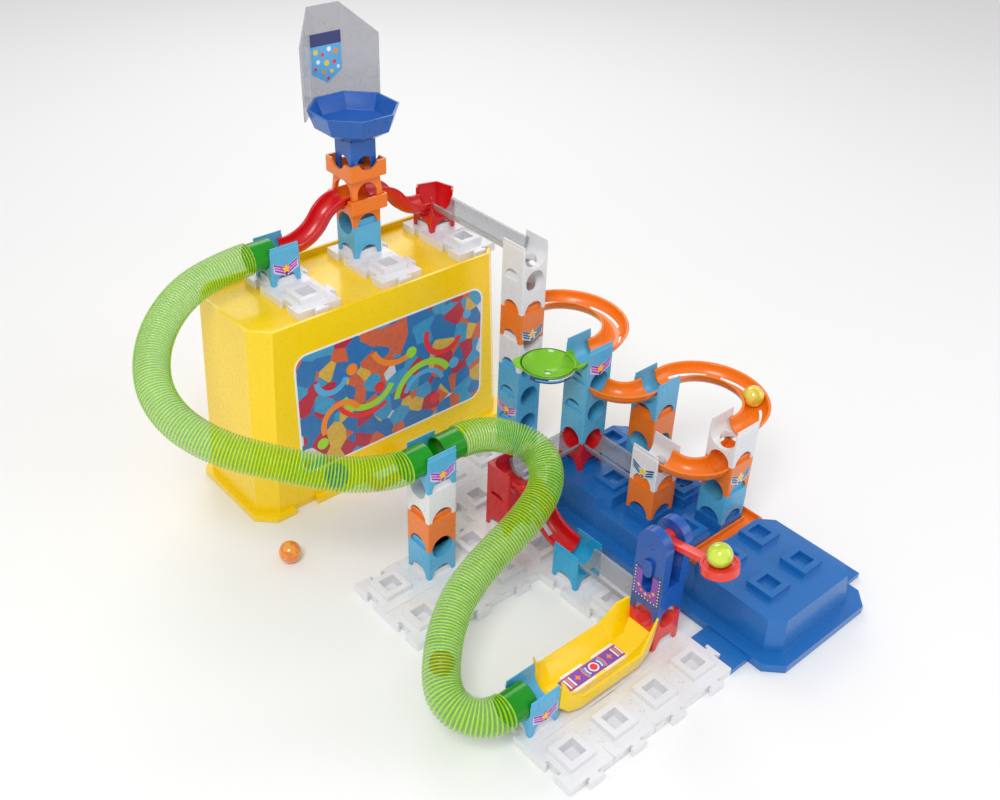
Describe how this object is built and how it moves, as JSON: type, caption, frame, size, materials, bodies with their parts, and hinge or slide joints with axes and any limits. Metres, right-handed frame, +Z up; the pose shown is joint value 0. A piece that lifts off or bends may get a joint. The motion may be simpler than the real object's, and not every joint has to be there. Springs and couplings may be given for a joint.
{
  "type": "marble run",
  "caption": "Toy marble run on plug-together plates: block towers, open tracks, corrugated tubes, a swinging launcher, a bowl tower and a storage case used as a stand.",
  "frame": {"origin": "on the floor, on the underside of the front floor plates, under the middle of the plate cell in the near left corner", "axes": "X along the front row of plate cells and the case's long side, Y away from the launcher towards the case, Z up"},
  "size_m": [0.4787, 0.5412, 0.42],
  "materials": {
    "white_plastic": "moulded, light gloss",
    "dark_blue_plastic": "moulded, gloss",
    "orange_plastic": "moulded, gloss",
    "yellow_plastic": "moulded, gloss",
    "light_blue_plastic": "moulded, gloss",
    "red_plastic": "moulded, gloss",
    "grey_clear_plastic": "clear grey plastic, gloss",
    "lime_clear_plastic": "clear tinted plastic, gloss",
    "green_clear_plastic": "clear tinted plastic, gloss",
    "blue_marble": "polished",
    "brown_marble": "polished",
    "orange_marble": "polished",
    "green_marble": "polished"
  },
  "bodies": {
    "standing layout": {"front_floor_plates": "white_plastic", "cross_floor_plate": "white_plastic", "left_floor_plates": "white_plastic", "rear_floor_plates": "white_plastic", "case_top_plates": "white_plastic", "tower_a_white_block": "white_plastic", "tower_b_white_blocks": "white_plastic", "tower_b_drop_connector": "white_plastic", "tower_e_drop_connector": "white_plastic", "tower_f_drop_connector": "white_plastic", "blue_base": "dark_blue_plastic", "funnel_bowl": "dark_blue_plastic", "bowl_neck": "dark_blue_plastic", "launcher_housing": "dark_blue_plastic", "launcher_axle": "dark_blue_plastic", "orange_gutter": "orange_plastic", "tower_a_orange_block": "orange_plastic", "tower_b_orange_block": "orange_plastic", "tower_d_orange_block": "orange_plastic", "tower_e_orange_block": "orange_plastic", "tower_f_orange_block": "orange_plastic", "bowl_tower_ledge_block": "orange_plastic", "bowl_tower_arch_block": "orange_plastic", "large_curves": "orange_plastic", "small_curves": "orange_plastic", "case_tub": "yellow_plastic", "catch_tray": "yellow_plastic", "tower_a_blue_block": "light_blue_plastic", "tower_a_connector": "light_blue_plastic", "tower_b_blue_blocks": "light_blue_plastic", "tower_c_blue_blocks": "light_blue_plastic", "tower_c_connector": "light_blue_plastic", "tower_d_blue_block": "light_blue_plastic", "tower_d_connector": "light_blue_plastic", "tower_f_blue_block": "light_blue_plastic", "finish_connector": "light_blue_plastic", "low_connector": "light_blue_plastic", "case_connector": "light_blue_plastic", "bowl_tower_blue_block": "light_blue_plastic", "tower_c_red_block": "red_plastic", "launcher_red_block": "red_plastic", "tall_red_block": "red_plastic", "red_slides": "red_plastic", "hex_funnel": "red_plastic", "short_straight_tracks": "grey_clear_plastic", "long_straight_track": "grey_clear_plastic", "backboard": "grey_clear_plastic", "upper_tube": "lime_clear_plastic", "lower_tube": "lime_clear_plastic", "swirl_dish": "lime_clear_plastic", "tube_collars": "green_clear_plastic"},
    "launcher arm": {"launcher_arm": "red_plastic"},
    "arm marble": {"launcher_marble": "green_marble"},
    "release slider": {"launcher_slider": "dark_blue_plastic"},
    "carry handle": {"case_handle": "orange_plastic"},
    "curve marble": {"curve_marble": "green_marble"},
    "floor marble": {"floor_marble": "orange_marble"},
    "upper tube marble": {"upper_tube_marble": "blue_marble"},
    "lower tube marble": {"lower_tube_marble": "brown_marble"}
  },
  "joints": [
    {"name": "arm swing", "type": "hinge", "parent": "standing layout", "child": "launcher arm", "pos_m": [0.135, 0.045, 0.1126], "axis": [1, 0, 0], "range_deg": [0, 46], "stiffness_Nm_per_rad": 0.03, "springref_deg": -45.84},
    {"name": "marble lifts out of cup", "type": "slide", "parent": "launcher arm", "child": "arm marble", "axis": [0, 0.1822, 0.9833], "range_m": [0, 0.03]},
    {"name": "release slide", "type": "slide", "parent": "standing layout", "child": "release slider", "axis": [0, 0, 1], "range_m": [-0.016, 0]},
    {"name": "handle swing", "type": "hinge", "parent": "standing layout", "child": "carry handle", "pos_m": [0.09776, 0.3672, 0.0038], "axis": [1, 0, 0], "range_deg": [-80, 0]},
    {"name": "curve roll", "type": "hinge", "parent": "standing layout", "child": "curve marble", "pos_m": [0.285, 0.135, 0.1329], "axis": [0, -0.0436, 0.999], "range_deg": [-34, 90]},
    {"name": "floor marble lift", "type": "slide", "parent": "standing layout", "child": "floor marble", "axis": [0, 0, 1], "range_m": [0, 0.05]},
    {"name": "upper tube roll", "type": "hinge", "parent": "standing layout", "child": "upper tube marble", "pos_m": [0.03379, 0.32995, 0.19846], "axis": [-0.0944, -0.5218, 0.8478], "range_deg": [-4, 9]},
    {"name": "lower tube roll", "type": "hinge", "parent": "standing layout", "child": "lower tube marble", "pos_m": [0.06751, 0.00596, 0.04166], "axis": [-0.1311, -0.2351, 0.9631], "range_deg": [-12, 0]}
  ]
}
